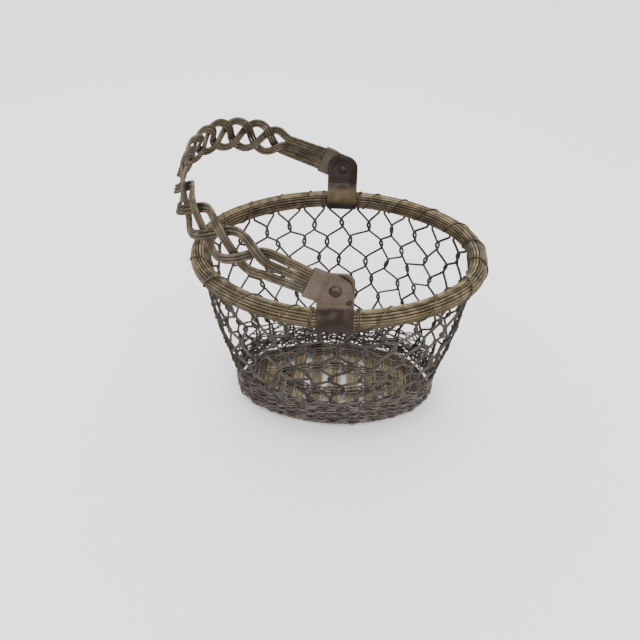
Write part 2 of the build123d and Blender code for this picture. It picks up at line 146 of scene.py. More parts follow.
def tubes(name, paths, ups, radius, sides=8, closed=False, tones=None):
    """One mesh of round wires: a circle of sides points carried along each path.

    At a point with direction t, across = t x up and rise = across x t, and the circle is
    point + radius (cos a across + sin a rise). paths and ups are (wires, points, 3) arrays.
    Each wire keeps a tone, and the distance along it, as attributes for its finish.
    """
    paths = np.asarray(paths, float)
    if paths.ndim == 2:
        paths = paths[None]
    ups = np.broadcast_to(ups, paths.shape)
    wires, count, _ = paths.shape
    if closed:
        direction = unit(np.roll(paths, -1, 1) - np.roll(paths, 1, 1))
    else:
        direction = unit(np.gradient(paths, axis=1))
    across = unit(np.cross(direction, ups))
    rise = np.cross(across, direction)
    angle = 2 * pi * np.arange(sides) / sides
    radius = np.broadcast_to(radius, (wires, count))[..., None, None]
    ring = np.cos(angle)[:, None] * across[:, :, None]
    ring = ring + np.sin(angle)[:, None] * rise[:, :, None]
    verts = (paths[:, :, None] + radius * ring).reshape(-1, 3)

    spans = count if closed else count - 1
    w = np.arange(wires)[:, None, None] * count * sides
    i = np.arange(spans)[None, :, None]
    j = np.arange(sides)[None, None, :]
    here = w + i * sides
    after = w + ((i + 1) % count) * sides
    j_next = (j + 1) % sides
    quads = np.stack([here + j, after + j, after + j_next, here + j_next], -1).reshape(-1, 4)
    loops = quads.ravel()
    starts = np.arange(len(quads)) * 4
    totals = np.full(len(quads), 4)
    if not closed:
        first = (w[:, 0] + np.arange(sides)).reshape(-1, sides)
        last = (w[:, 0] + (count - 1) * sides + np.arange(sides)[::-1]).reshape(-1, sides)
        caps = np.concatenate([first, last])
        starts = np.concatenate([starts, len(loops) + np.arange(len(caps)) * sides])
        totals = np.concatenate([totals, np.full(len(caps), sides)])
        loops = np.concatenate([loops, caps.ravel()])

    mesh = bpy.data.meshes.new(name)
    mesh.vertices.add(len(verts))
    mesh.vertices.foreach_set("co", verts.ravel())
    mesh.loops.add(len(loops))
    mesh.loops.foreach_set("vertex_index", loops.astype(np.int32))
    mesh.polygons.add(len(starts))
    mesh.polygons.foreach_set("loop_start", starts.astype(np.int32))
    mesh.polygons.foreach_set("loop_total", totals.astype(np.int32))
    flat = np.ones(len(starts), bool)
    flat[len(quads):] = False
    mesh.polygons.foreach_set("use_smooth", flat)
    mesh.update(calc_edges=True)
    mesh.validate()

    if tones is None:
        tones = np.full(wires, 0.5)
    tone = np.repeat(np.asarray(tones, float), count * sides)
    steps = np.linalg.norm(np.diff(paths, axis=1), axis=2)
    run = np.concatenate([np.zeros((wires, 1)), np.cumsum(steps, 1)], 1)
    for label, values in (("tone", tone), ("run", np.repeat(run.ravel(), sides))):
        layer = mesh.attributes.new(label, "FLOAT", "POINT")
        layer.data.foreach_set("value", values.astype(np.float32))
    piece = bpy.data.objects.new(name, mesh)
    bpy.context.scene.collection.objects.link(piece)
    return piece


def settle(piece, body, slot, material, *nodes):
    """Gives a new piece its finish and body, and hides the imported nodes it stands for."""
    piece.data.materials.clear()
    piece.data.materials.append(material)
    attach(piece, body)
    if nodes:
        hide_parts(*nodes)
    return piece


# ------------------------------------------------------------------ finishes
def named_group(name, inputs, outputs):
    """A new shader node group with sockets given as (name, kind, default), and its two end nodes."""
    group = bpy.data.node_groups.new(name, "ShaderNodeTree")
    for label, kind, default in inputs:
        socket = group.interface.new_socket(label, in_out="INPUT", socket_type=kind)
        socket.default_value = default
    for label, kind in outputs:
        group.interface.new_socket(label, in_out="OUTPUT", socket_type=kind)
    return group, group.nodes.new("NodeGroupInput"), group.nodes.new("NodeGroupOutput")


def noise(tree, vector, scale, detail, roughness=0.55):
    """A noise texture on a vector; scale is in cells a metre."""
    node = tree.nodes.new("ShaderNodeTexNoise")
    node.inputs["Detail"].default_value = detail
    node.inputs["Roughness"].default_value = roughness
    if isinstance(scale, (int, float)):
        node.inputs["Scale"].default_value = scale
    else:
        tree.links.new(scale, node.inputs["Scale"])
    tree.links.new(vector, node.inputs["Vector"])
    return node.outputs["Fac"]


def ramp(tree, value, low, high, to_low=0.0, to_high=1.0):
    """A smooth step of a value between low and high."""
    node = tree.nodes.new("ShaderNodeMapRange")
    node.interpolation_type = "SMOOTHSTEP"
    for label, number in (("From Min", low), ("From Max", high), ("To Min", to_low), ("To Max", to_high)):
        node.inputs[label].default_value = number
    tree.links.new(value, node.inputs["Value"])
    return node.outputs["Result"]


def mixed(tree, share, first, second, blend="MIX"):
    """Two colours mixed by a share; each is a socket or a plain colour."""
    node = tree.nodes.new("ShaderNodeMix")
    node.data_type = "RGBA"
    node.blend_type = blend
    for index, value in ((0, share), (6, first), (7, second)):
        if hasattr(value, "is_output"):
            tree.links.new(value, node.inputs[index])
        else:
            node.inputs[index].default_value = value
    return node.outputs[2]


def maths(tree, operation, first, second):
    """One arithmetic step; each value is a socket or a number."""
    node = tree.nodes.new("ShaderNodeMath")
    node.operation = operation
    for index, value in enumerate((first, second)):
        if hasattr(value, "is_output"):
            tree.links.new(value, node.inputs[index])
        else:
            node.inputs[index].default_value = value
    return node.outputs[0]


def patina_group():
    """Patina: cloudy dark tarnish over the metal, rubbed bright on top, with a fine pitted grain."""
    colour = "NodeSocketColor"
    number = "NodeSocketFloat"
    group, given, result = named_group(
        "Patina",
        [
            ("Metal", colour, (0.2, 0.16, 0.1, 1)),
            ("Tarnish", colour, (0.05, 0.04, 0.035, 1)),
            ("Rubbed", colour, (0.4, 0.34, 0.24, 1)),
            ("Dust", colour, (0.35, 0.34, 0.33, 1)),
            ("Patch Scale", number, 60.0),
            ("Tarnish Amount", number, 0.5),
            ("Rubbed Amount", number, 0.5),
            ("Dust Amount", number, 0.2),
        ],
        [("Colour", colour), ("Roughness", number), ("Height", number)],
    )
    place = group.nodes.new("ShaderNodeTexCoord").outputs["Object"]
    patches = noise(group, place, given.outputs["Patch Scale"], 4.0)
    blotches = noise(group, place, 130.0, 3.0)
    grain = noise(group, place, 1400.0, 2.0)
    up = group.nodes.new("ShaderNodeSeparateXYZ")
    group.links.new(group.nodes.new("ShaderNodeNewGeometry").outputs["Normal"], up.inputs[0])

    tarnish = maths(group, "MULTIPLY", ramp(group, patches, 0.35, 0.68), given.outputs["Tarnish Amount"])
    tarnished = mixed(group, tarnish, given.outputs["Metal"], given.outputs["Tarnish"])
    top = ramp(group, up.outputs["Z"], -0.2, 0.95)
    worn = maths(group, "MULTIPLY", ramp(group, blotches, 0.42, 0.62), top)
    worn = maths(group, "MULTIPLY", worn, given.outputs["Rubbed Amount"])
    rubbed = mixed(group, worn, tarnished, given.outputs["Rubbed"])
    drifts = ramp(group, noise(group, place, 35.0, 3.0), 0.45, 0.7)
    dust = maths(group, "MULTIPLY", drifts, given.outputs["Dust Amount"])
    dusty = mixed(group, dust, rubbed, given.outputs["Dust"])
    pits = ramp(group, grain, 0.3, 0.7, 0.22, 0.0)
    speckled = mixed(group, pits, dusty, given.outputs["Tarnish"])
    group.links.new(speckled, result.inputs["Colour"])
    uneven = ramp(group, blotches, 0.3, 0.7, 0.42, 0.58)
    rough = maths(group, "ADD", uneven, maths(group, "MULTIPLY", dust, 0.35))
    group.links.new(rough, result.inputs["Roughness"])
    fine, broad = maths(group, "MULTIPLY", grain, 0.5), maths(group, "MULTIPLY", blotches, 0.5)
    height = maths(group, "ADD", fine, broad)
    group.links.new(height, result.inputs["Height"])
    return group


DARK_WIRE = (0.62, 0.62, 0.64, 1)
LIGHT_WIRE = (1.35, 1.32, 1.25, 1)
GRAIN_DEPTH = 0.4 * MM
GRAIN_STRENGTH = 0.3


def finish(name, group, colours, amounts, metallic, edge, toned=True):
    """A metal finish: patina for colour, roughness and bump, lightened or darkened wire by wire.

    Dull metal doesn't shine along its edges: edge is the share of that shine it keeps.
    """
    material = bpy.data.materials.new(name)
    material.use_nodes = True
    tree = material.node_tree
    shader = tree.nodes["Principled BSDF"]
    patina = tree.nodes.new("ShaderNodeGroup")
    patina.node_tree = group
    for label, value in zip(("Metal", "Tarnish", "Rubbed", "Dust"), colours):
        patina.inputs[label].default_value = tuple(value) + (1,)
    for label, value in zip(("Patch Scale", "Tarnish Amount", "Rubbed Amount", "Dust Amount"), amounts):
        patina.inputs[label].default_value = value
    colour = patina.outputs["Colour"]
    if toned:
        tone = tree.nodes.new("ShaderNodeAttribute")
        tone.attribute_name = "tone"
        light = ramp(tree, tone.outputs["Fac"], 0.0, 1.0, 0.0, 1.0)
        shade = mixed(tree, light, DARK_WIRE, LIGHT_WIRE)
        colour = mixed(tree, 1.0, colour, shade, "MULTIPLY")
    tree.links.new(colour, shader.inputs["Base Color"])
    tree.links.new(patina.outputs["Roughness"], shader.inputs["Roughness"])
    shader.inputs["Metallic"].default_value = metallic
    rough_surface = tree.nodes.new("ShaderNodeBump")
    rough_surface.inputs["Strength"].default_value = GRAIN_STRENGTH
    rough_surface.inputs["Distance"].default_value = GRAIN_DEPTH
    tree.links.new(patina.outputs["Height"], rough_surface.inputs["Height"])
    tree.links.new(rough_surface.outputs["Normal"], shader.inputs["Normal"])
    shader.inputs["Specular IOR Level"].default_value = 0.5 * edge
    shader.inputs["Specular Tint"].default_value = (edge, edge, edge, 1)
    return material


def make_finishes():
    """Every finish of the basket, by name."""
    colours = bpy.context.scene.basket_colours
    patina = patina_group()
    dark, dust = colours.tarnish, colours.dust
    bright = colours.rubbed
    # Metal and rubbed colours; patch scale, tarnish, rubbed and dust; metallic; edge shine; toned wires.
    metals = {
        "rim": (colours.rim_wire, bright, (55.0, 0.55, 0.6, 0.2), 0.85, 0.6, True),
        "core": (dark, dark, (55.0, 0.5, 0.0, 0.0), 0.2, 0.2, False),
        "binding": (colours.rim_wire, bright, (80.0, 0.7, 0.4, 0.2), 0.7, 0.4, True),
        "netting": (colours.netting_wire, dust, (70.0, 0.6, 0.15, 0.05), 0.0, 0.0, True),
        "border": (colours.border_wire, dust, (60.0, 0.55, 0.4, 0.3), 0.7, 0.4, True),
        "floor": (colours.floor_wire, bright, (50.0, 0.45, 0.6, 0.15), 0.8, 0.6, True),
        "handle": (colours.handle_wire, bright, (50.0, 0.6, 0.45, 0.15), 0.5, 0.15, True),
        "strap": (colours.strap, colours.sheet_rubbed, (45.0, 0.6, 0.35, 0.1), 0.7, 0.5, False),
        "ear": (colours.sheet, colours.sheet_rubbed, (40.0, 0.5, 0.5, 0.2), 0.7, 0.5, False),
        "rivet": (colours.rivet, bright, (120.0, 0.5, 0.35, 0.1), 0.8, 0.5, False),
    }
    made = {}
    for label, (metal, rubbed, amounts, metallic, edge, toned) in metals.items():
        paints = (metal, dark, rubbed, dust)
        made[label] = finish(f"{label} finish", patina, paints, amounts, metallic, edge, toned)
    ear_start = RIM_HEIGHT + 15 * MM
    bend_start, bend_end = RIM_HEIGHT + 2 * MM, ear_start - 2 * MM
    front = (colours.strap, (ear_start, colours.sheet))
    # Back clip: strap colour below, then a lighter band of painted highlight where the bend over the rim
    # faces up, then the dark strap colour again as painted shade up the ear, which leans in and faces down.
    back = (colours.strap, (bend_start, colours.painted_bend_highlight), (bend_end, colours.strap))
    for label, bands in (("front clip", front), ("back clip", back)):
        made[label] = clip_finish(f"{label} finish", patina, bands, dark, colours.sheet_rubbed, dust)
    return made


def clip_finish(name, group, bands, dark, rubbed, dust):
    """Sheet metal whose colour changes with height: bands holds a colour, then (height, colour) steps
    upwards. On the back clip the bend band and the dark ear above it are painted light and shade.
    """
    amounts = (45.0, 0.55, 0.3, 0.08)
    material = finish(name, group, (bands[0], dark, rubbed, dust), amounts, 0.7, 0.5, False)
    tree = material.node_tree
    patina = next(node for node in tree.nodes if node.type == "GROUP")
    height = tree.nodes.new("ShaderNodeSeparateXYZ")
    place = tree.nodes.new("ShaderNodeTexCoord").outputs["Object"]
    tree.links.new(place, height.inputs[0])
    # Each band edge wanders up and down with noise and fades over a few millimetres; on the back clip these
    # edges bound painted light and shade.
    band_edge_wander, band_edge_fade = 6 * MM, 4 * MM
    uneven = maths(tree, "MULTIPLY", noise(tree, place, 90.0, 3.0), band_edge_wander)
    level = maths(tree, "ADD", height.outputs["Z"], uneven)
    colour = tuple(bands[0]) + (1,)
    for start, next_colour in bands[1:]:
        share = ramp(tree, level, start, start + band_edge_fade)
        colour = mixed(tree, share, colour, tuple(next_colour) + (1,))
    tree.links.new(colour, patina.inputs["Metal"])
    return material


FINISHES = {}


# ------------------------------------------------------------------ settings
def length(name, description, default):
    """A length setting in metres."""
    kind = {"unit": "LENGTH", "subtype": "DISTANCE"}
    return FloatProperty(name=name, description=description, default=default, **kind)


def paint(name, description, default):
    """A colour setting."""
    kind = {"subtype": "COLOR", "min": 0, "max": 1}
    return FloatVectorProperty(name=name, description=description, default=default, **kind)


class RimSettings(bpy.types.PropertyGroup):
    """Sizes of the wires laid round the rim and of the binding round them."""

    wire_count: IntProperty(name="Wires", description="Wires laid round the core hoop", default=18)
    wire_radius: length("Wire radius", "Radius of a rim wire", 1.08 * MM)
    wire_circle: length("Wire circle", "From the rim's middle to the middle of a rim wire", 6.46 * MM)
    wobble: length("Wobble", "How far a rim wire strays from its place", 0.16 * MM)
    binding_radius: length("Binding radius", "Radius of the binding wire", 0.55 * MM)
    binding_turns: IntProperty(
        name="Binding turns", description="Open turns on each half of the rim", default=9
    )


class NettingSettings(bpy.types.PropertyGroup):
    """Sizes of the hand-twisted hexagonal netting."""

    columns: IntProperty(name="Columns", description="Twists in one round of the netting", default=25)
    rows: IntProperty(name="Rows", description="Rounds of twists from the rim to the base", default=6)
    wire_radius: length("Wire radius", "Radius of the netting wire", 1.15 * MM)
    twist_height: length("Twist height", "Height of one twist", 11.0 * MM)
    row_step: length("Row step", "From one round of twists to the next", 18.15 * MM)
    loop_half_width: length("Loop half width", "Half the width of the loop in a twist", 1.25 * MM)
    stray: length("Stray", "How far a twist strays from its even place", 1.3 * MM)


class BaseSettings(bpy.types.PropertyGroup):
    """Sizes of the woven border and floor."""

    border_wire_radius: length("Border wire radius", "Radius of the woven wires", 0.85 * MM)
    border_depth: length("Border weave depth", "How far the woven wires go in and out", 1.9 * MM)
    stake_radius: length("Stake radius", "Radius of the floor wires", 0.9 * MM)


class HandleSettings(bpy.types.PropertyGroup):
    """Sizes of the plaited handle."""

    wire_radius: length("Wire radius", "Radius of a handle wire", 1.245 * MM)
    wire_pitch: length("Wire pitch", "Between neighbouring wires of a strand", 2.5 * MM)
    lean: FloatProperty(
        name="Lean", description="Angle above level at rest", default=radians(22), subtype="ANGLE"
    )


class BasketColours(bpy.types.PropertyGroup):
    """Colours of the basket's metals, with a painted highlight for the back clip's bend."""

    rim_wire: paint("Rim wire", "Drawn wire of the rim", (0.118, 0.092, 0.054))
    handle_wire: paint("Handle wire", "Drawn wire of the handle", (0.086, 0.069, 0.050))
    floor_wire: paint("Floor wire", "Golden wire of the floor", (0.290, 0.222, 0.140))
    border_wire: paint("Border wire", "Wire of the woven border", (0.130, 0.104, 0.098))
    netting_wire: paint("Netting wire", "Wire of the netting", (0.062, 0.056, 0.051))
    sheet: paint("Sheet", "Sheet of the ears and ferrules", (0.109, 0.080, 0.059))
    strap: paint("Strap", "Sheet of the straps round the rim", (0.026, 0.016, 0.014))
    # Painted highlight: a lighter sheet colour laid on the back clip's bend, where it faces up.
    painted_bend_highlight: paint("Olive sheet", "Sheet of the back strap's bend", (0.077, 0.056, 0.024))
    sheet_rubbed: paint("Rubbed sheet", "Sheet where it is rubbed", (0.184, 0.150, 0.117))
    # Painted reflection: the rivet colour is kept dark to stand for the dark surroundings that a domed head
    # reflects.
    rivet: paint("Rivet", "Rivets", (0.035, 0.027, 0.022))
    rubbed: paint("Rubbed wire", "Wire where it is rubbed bright", (0.307, 0.256, 0.163))
    tarnish: paint("Tarnish", "Dark tarnish", (0.029, 0.024, 0.019))
    dust: paint("Dust", "Pale dust and oxide", (0.214, 0.208, 0.195))


# ------------------------------------------------------------------ rim
class BASKET_OT_rim(bpy.types.Operator):
    """Lay the drawn wires round the rim"""

    bl_idname = "basket.rim"
    bl_label = "Rim wires"

    def execute(self, context):
        sizes = context.scene.rim_settings
        rng = np.random.default_rng(11)
        count = 360
        share = np.arange(count) / count
        common = waves(share, rng, 0.10, (1, 2, 3))
        for n in range(sizes.wire_count):
            around = 2 * pi * n / sizes.wire_count + common + waves(share, rng, 0.035, (2, 3, 5))
            circle = sizes.wire_circle + waves(share, rng, sizes.wobble, (3, 4, 7))
            rise = RIM_HEIGHT + circle * np.sin(around)
            path, out = on_oval(share, RIM_OVAL, circle * np.cos(around), rise)
            name = f"rim_wire_{n + 1:02d}"
            up = outer_side(out, around)
            piece = tubes("laid_" + name, path, up, sizes.wire_radius, 8, True, [rng.random()])
            settle(piece, "basket", "rim_wire", FINISHES["rim"], name)
        return {"FINISHED"}


class BASKET_OT_binding(bpy.types.Operator):
    """Wind the binding wires round the rim"""

    # A half's binding starts beside a clip, with two close turns before and after its open ones.
    START = 15.9 * MM
    CLOSE_TURNS = 2
    CLOSE_PITCH = 1.4 * MM
    TURN_POINTS = 28
    PULLED_IN = 0.12 * MM

    bl_idname = "basket.binding"
    bl_label = "Rim binding"

    def execute(self, context):
        sizes = context.scene.rim_settings
        bundle = sizes.wire_circle + sizes.wire_radius
        half_run = self.half_run()
        for side, word, seed in ((1, "right", 5), (-1, "left", 8)):
            rng = np.random.default_rng(seed)
            close = self.CLOSE_PITCH / half_run
            first = self.START / half_run + close * np.arange(self.CLOSE_TURNS + 1)
            gaps = 1 + 0.28 * rng.uniform(-1, 1, sizes.binding_turns)
            middle = first[-1] + (1 - 2 * first[-1]) * np.cumsum(gaps) / gaps.sum()
            last = middle[-1] + close * np.arange(1, self.CLOSE_TURNS + 1)
            knots = np.concatenate([first, middle, last])
            turn = np.linspace(0, len(knots) - 1, (len(knots) - 1) * self.TURN_POINTS + 1)
            travel = np.interp(turn, np.arange(len(knots)), knots)
            # The change from close to open turns is eased by a running average of half a turn.
            kernel = np.hanning(self.TURN_POINTS // 2 + 1)
            padded = np.pad(travel, len(kernel) // 2, mode="reflect", reflect_type="odd")
            travel = np.convolve(padded, kernel / kernel.sum(), "valid")
            around = side * 2 * pi * turn - pi / 2
            circle = bundle + sizes.binding_radius - self.PULLED_IN
            circle = circle + self.PULLED_IN * np.abs(np.sin(3.3 * turn))
            share = travel / 2 if side > 0 else 1 - travel / 2
            rise = RIM_HEIGHT + circle * np.sin(around)
            path, out = on_oval(share, RIM_OVAL, circle * np.cos(around), rise)
            up = outer_side(out, around)
            piece = tubes(f"wound_binding_{word}", path, up, sizes.binding_radius, 7, False, [0.35])
            settle(piece, "basket", "binding_wire", FINISHES["binding"], f"rim_binding_{word}")
        return {"FINISHED"}

    def half_run(self):
        """Half the length round the rim."""
        share = np.linspace(0, 0.5, 400)
        path, _ = oval_at(share, *RIM_OVAL)
        return np.linalg.norm(np.diff(path, axis=0), axis=1).sum()


# ------------------------------------------------------------------ netting
def wall_oval(height):
    """Sizes of the netting's oval at each height: from the base's to the rim's, bulging between."""
    share = np.clip((height - BORDER_TOP) / (WALL_TOP - BORDER_TOP), 0, None)
    bulge = WALL_BULGE * 4 * share * (1 - np.minimum(share, 1))
    spread = (3,) + (1,) * np.ndim(height)
    low = BASE_OVAL.reshape(spread)
    high = (RIM_OVAL - WALL_IN_FROM_RIM).reshape(spread)
    return low + (high - low) * share + bulge


class BASKET_OT_netting(bpy.types.Operator):
    """Twist the hexagonal netting between the rim and the base"""

    # Row 0 hangs on the rim, and every row below it pairs neighbouring wires the other way.
    TOP = RIM_HEIGHT - 4.5 * MM
    LOW = 30 * MM
    END = 6 * MM
    ROUND_TOP = 640 * MM
    ROUND_LOW = 480 * MM
    HANG_HALF_WIDTH = 2.6 * MM
    HANG_DROP = 4.5 * MM
    TWIST_POINTS = 26
    RUN_POINTS = 12
    END_POINTS = 10
    TWIST_DEPTH = 0.85 * MM
    WALL_DRIFT = 0.9 * MM

    bl_idname = "basket.netting"
    bl_label = "Netting"

    def execute(self, context):
        sizes = context.scene.netting_settings
        rng = np.random.default_rng(23)
        wires = 2 * sizes.columns
        wire = np.arange(wires)
        # Each value has a column for a wire, so that rows of points broadcast against it.
        rows = [self.row_places(sizes, rng, wire, row) for row in range(sizes.rows + 1)]
        parts = [self.hanging(*rows[0])] + [self.twisted(*row) for row in rows[1:]]
        share, height, out = self.joined(parts)

        # Below the last twists the wires run evenly spaced into the border.
        fall = np.linspace(0, 1, self.END_POINTS + 1)[None, 1:]
        last_share, last_height = share[:, -1:], height[:, -1:]
        end_share = wire[:, None] / wires
        share = np.concatenate([share, last_share + (end_share - last_share) * smooth(fall)], 1)
        height = np.concatenate([height, last_height + (self.END - last_height) * fall], 1)
        out = np.concatenate([out, np.zeros_like(fall) * last_share], 1)

        flat, normal = oval_at(share, *wall_oval(height))
        upper = np.clip((height - self.LOW) / (self.TOP - self.LOW), 0, 1)
        drift = waves(share, rng, self.WALL_DRIFT, (3, 5, 8)) * upper
        flat = flat + normal * (out + drift)[..., None]
        paths = np.concatenate([flat, height[..., None]], -1)
        ups = np.concatenate([normal, np.zeros(normal.shape[:-1] + (1,))], -1)
        radius = sizes.wire_radius
        piece = tubes("twisted_netting", paths, ups, radius, 6, False, rng.random(wires))
        settle(piece, "basket", "netting_wire", FINISHES["netting"], "netting_wall")
        return {"FINISHED"}

    def row_places(self, sizes, rng, wire, row):
        """Where one row's twists lie: place round the basket, height, side, length, loop and lean."""
        pair = (wire + row) // 2
        pair_index = np.mod(pair, sizes.columns)
        side = np.where((wire + row) % 2 == 0, -1.0, 1.0)
        pairs = sizes.columns + 1
        looseness = 1 + 0.9 * row / sizes.rows
        stray_share = sizes.stray / (600 * MM)
        centre_stray = rng.normal(0, 1, pairs) * stray_share * looseness * (0.6 if row == 0 else 1)
        level_stray = rng.normal(0, 1, pairs) * sizes.stray * 0.75 * looseness
        twist = sizes.twist_height * rng.uniform(0.88, 1.12, pairs)
        loop = sizes.loop_half_width * rng.uniform(0.7, 1.3, pairs)
        lean = rng.normal(0, 0.9, pairs) * MM * looseness
        centre = (2 * pair - row) / (2 * sizes.columns) + centre_stray[pair_index]
        level = self.TOP - sizes.row_step * row + level_stray[pair_index] * (row > 0)
        values = (centre, level, side, twist[pair_index], loop[pair_index], lean[pair_index])
        return tuple(v[:, None] for v in values)

    def round_at(self, level):
        """The length round the netting at a height."""
        return np.interp(level, [self.LOW, self.TOP], [self.ROUND_LOW, self.ROUND_TOP])

    def hanging(self, centre, level, side, twist, loop, lean):
        """The top of each cell: a quarter of a sine each way from the rim, so the pair hangs in an arch."""
        t = np.linspace(0, 1, self.TWIST_POINTS)[None, : self.TWIST_POINTS // 2]
        t = t / t.max()
        share = centre + side * self.HANG_HALF_WIDTH * np.sin(pi / 2 * t) / self.round_at(level)
        height = level - self.HANG_DROP * (1 - np.cos(pi / 2 * t)) * np.ones_like(centre)
        return share, height, 0.5 * MM * side * (1 - smooth(t))

    def twisted(self, centre, level, side, twist, loop, lean):
        """A twist: the pair swaps sides as side (2 (2t - 1)^2 - 1), with an oval loop between crossings."""
        t = np.linspace(0, 1, self.TWIST_POINTS)[None, :]
        side_step = side * loop * (2 * (2 * t - 1) ** 2 - 1)
        tilt = lean * (t - 0.5) * 2
        share = centre + (side_step + tilt) / self.round_at(level)
        return share, level + twist * (0.5 - t), self.TWIST_DEPTH * side * np.sin(2 * pi * t)

    def joined(self, parts):
        """All rows in one run. Between rows the height falls evenly and the rest goes over in step,
        with the place round the basket a little eased, so that each run is a very soft S.
        """
        t = np.linspace(0, 1, self.RUN_POINTS + 2)[None, 1:-1]
        eased = smooth(t) * 0.15 + t * 0.85
        runs = []
        for index, blend in enumerate((eased, t, t)):
            pieces = [parts[0][index]]
            for part in parts[1:]:
                before, after = pieces[-1][:, -1:], part[index][:, :1]
                pieces += [before + (after - before) * blend, part[index]]
            runs.append(np.concatenate(pieces, 1))
        return runs


# ------------------------------------------------------------------ base
class BASKET_OT_border(bpy.types.Operator):
    """Weave the border of the base and roll its foot"""

    STAKES = 50
    WIRE_PITCH = 1.75 * MM
    LOOSE_RISE = 2.2 * MM
    FOOT_WIRES = 6
    FOOT_WIRE_RADIUS = 0.95 * MM
    FOOT_TURNS = 14

    bl_idname = "basket.border"
    bl_label = "Woven border"

    def execute(self, context):
        sizes = context.scene.base_settings
        rng = np.random.default_rng(31)
        count = 500
        share = np.arange(count) / count
        radius = sizes.border_wire_radius
        for row in range(BORDER_ROWS):
            middle = middle_height(f"border_row_{row + 1}")
            paths, ups = [], []
            # The last row has three loose wires on top of its woven ones.
            wires = 3 if row < BORDER_ROWS - 1 else 6
            for wire in range(wires):
                phase = pi * self.STAKES * share + pi * row
                weave = np.cos(phase + pi * (wire % 2)) * sizes.border_depth
                weave = weave * (1 + waves(share, rng, 0.5, (5, 9, 14)))
                stray = waves(share, rng, 1.2 * MM, (4, 7, 11)) + waves(share, rng, 0.9 * MM, (17, 23))
                scallop = 0.55 * MM * np.cos(phase + 1.2 * wire)
                if wire > 2:
                    stray = stray + self.LOOSE_RISE + waves(share, rng, 3.2 * MM, (9, 13, 21))
                height = middle + (wire - 1) * self.WIRE_PITCH + stray + scallop
                height = np.maximum(height, radius)
                path, out = on_oval(share, wall_oval(height), weave, height)
                paths.append(path)
                ups.append(out)
            name = f"woven_border_row_{row + 1}"
            piece = tubes(name, paths, np.array(ups), radius, 6, True, rng.random(wires))
            settle(piece, "basket", "border_wire", FINISHES["border"], f"border_row_{row + 1}")
        self.foot(rng)
        return {"FINISHED"}

    def foot(self, rng):
        """The foot: six wires laid round a circle that turns as it goes round the base."""
        radius = self.FOOT_WIRE_RADIUS
        circle = FOOT_RADIUS - radius
        strands = np.arange(self.FOOT_WIRES)[:, None] / self.FOOT_WIRES
        share = np.arange(600)[None, :] / 600 + 0 * strands
        turn = 2 * pi * (self.FOOT_TURNS * share + strands)
        rise = np.maximum(FOOT_RADIUS - FOOT_WORN + circle * np.sin(turn), radius)
        path, out = on_oval(share, BASE_OVAL - FOOT_IN, circle * np.cos(turn), rise)
        tones = rng.random(self.FOOT_WIRES)
        piece = tubes("rolled_foot_border", path, out, radius, 7, True, tones)
        settle(piece, "basket", "border_wire", FINISHES["border"], "foot_border")


class BASKET_OT_floor(bpy.types.Operator):
    """Lay the floor wires and weave the bands through them"""

    GROUPS = 9
    GROUP_WIRES = 6
    END_WIRES = 13
    BAND_WIRE_RADIUS = 0.85 * MM
    BAND_PITCH = 1.95 * MM
    BAND_LIFT = 1.6 * MM
    END_WIRE_MARGIN = 0.9 * MM
    FLOOR_IN = 3.6 * MM

    bl_idname = "basket.floor"
    bl_label = "Woven floor"

    def execute(self, context):
        sizes = context.scene.base_settings
        rng = np.random.default_rng(47)
        level = middle_height("floor_stake_group_5")
        for group in range(self.GROUPS):
            self.lay_group(sizes, rng, group, level)
        for word, inset, wires, start in (("outer", 4.5 * MM, 10, 0), ("inner", 34 * MM, 6, pi)):
            self.weave_band(rng, word, inset, wires, start, level)
        for word in ("left", "right"):
            self.lay_ends(rng, f"end_stakes_{word}")
        return {"FINISHED"}

    def lay_group(self, sizes, rng, group, level):
        """Six wires across the floor: straight, with a slight bow, and a sine up and down over the bands."""
        name = f"floor_stake_group_{group + 1}"
        radius = sizes.stake_radius
        low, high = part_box(name)
        t = np.linspace(-1, 1, 60)
        paths = []
        for x in np.linspace(low[0] + radius, high[0] - radius, self.GROUP_WIRES):
            y = t * self.floor_half_width(x)
            wave = 0.55 * MM * np.sin(2 * pi * (y / (38 * MM)) + pi * group)
            bow = waves((t + 1) / 2, rng, 0.5 * MM, (1, 2, 3))
            paths.append(np.stack([x + bow, y, level + wave * (1 - t**4)], -1))
        tones = rng.random(self.GROUP_WIRES)
        piece = tubes("laid_" + name, paths, UP, radius, 8, False, tones)
        settle(piece, "basket", "floor_wire", FINISHES["floor"], name)

    def weave_band(self, rng, word, inset, wires, start, level):
        """A band round the floor: each wire an oval, going over and under the floor wires by a cosine."""
        share = np.arange(420) / 420
        paths = []
        for wire in range(wires):
            growth = -inset - wire * self.BAND_PITCH + waves(share, rng, 0.7 * MM, (3, 5, 8))
            path, _ = on_oval(share, BASE_OVAL, growth, level)
            phase = 2 * pi * path[:, 0] / (35 * MM) + pi * (wire % 2) + start
            path[:, 2] += self.BAND_LIFT * np.cos(phase)
            paths.append(path)
        tones = rng.random(wires)
        piece = tubes(f"woven_band_{word}", paths, UP, self.BAND_WIRE_RADIUS, 7, True, tones)
        settle(piece, "basket", "floor_wire", FINISHES["border"], f"floor_weaver_{word}")

    def lay_ends(self, rng, name):
        """Thirteen wires along the floor at one end, each with a slight wobble."""
        low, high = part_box(name)
        ys = np.linspace(low[1] + self.END_WIRE_MARGIN, high[1] - self.END_WIRE_MARGIN, self.END_WIRES)
        share = np.linspace(0, 1, 40)
        x = np.linspace(low[0], high[0], 40)
        z = np.full(40, (low[2] + high[2]) / 2)
        paths = [np.stack([x, y + waves(share, rng, 0.5 * MM, (1, 2)), z], -1) for y in ys]
        tones = rng.random(self.END_WIRES)
        piece = tubes("laid_" + name, paths, UP, self.BAND_WIRE_RADIUS, 7, False, tones)
        settle(piece, "basket", "floor_wire", FINISHES["floor"], name)

    def floor_half_width(self, x):
        """Half the floor's width at a distance x along it."""
        share = np.linspace(0, 0.25, 600)
        path, _ = oval_at(share, *(BASE_OVAL - self.FLOOR_IN))
        return float(np.interp(abs(x), path[:, 0], -path[:, 1]))


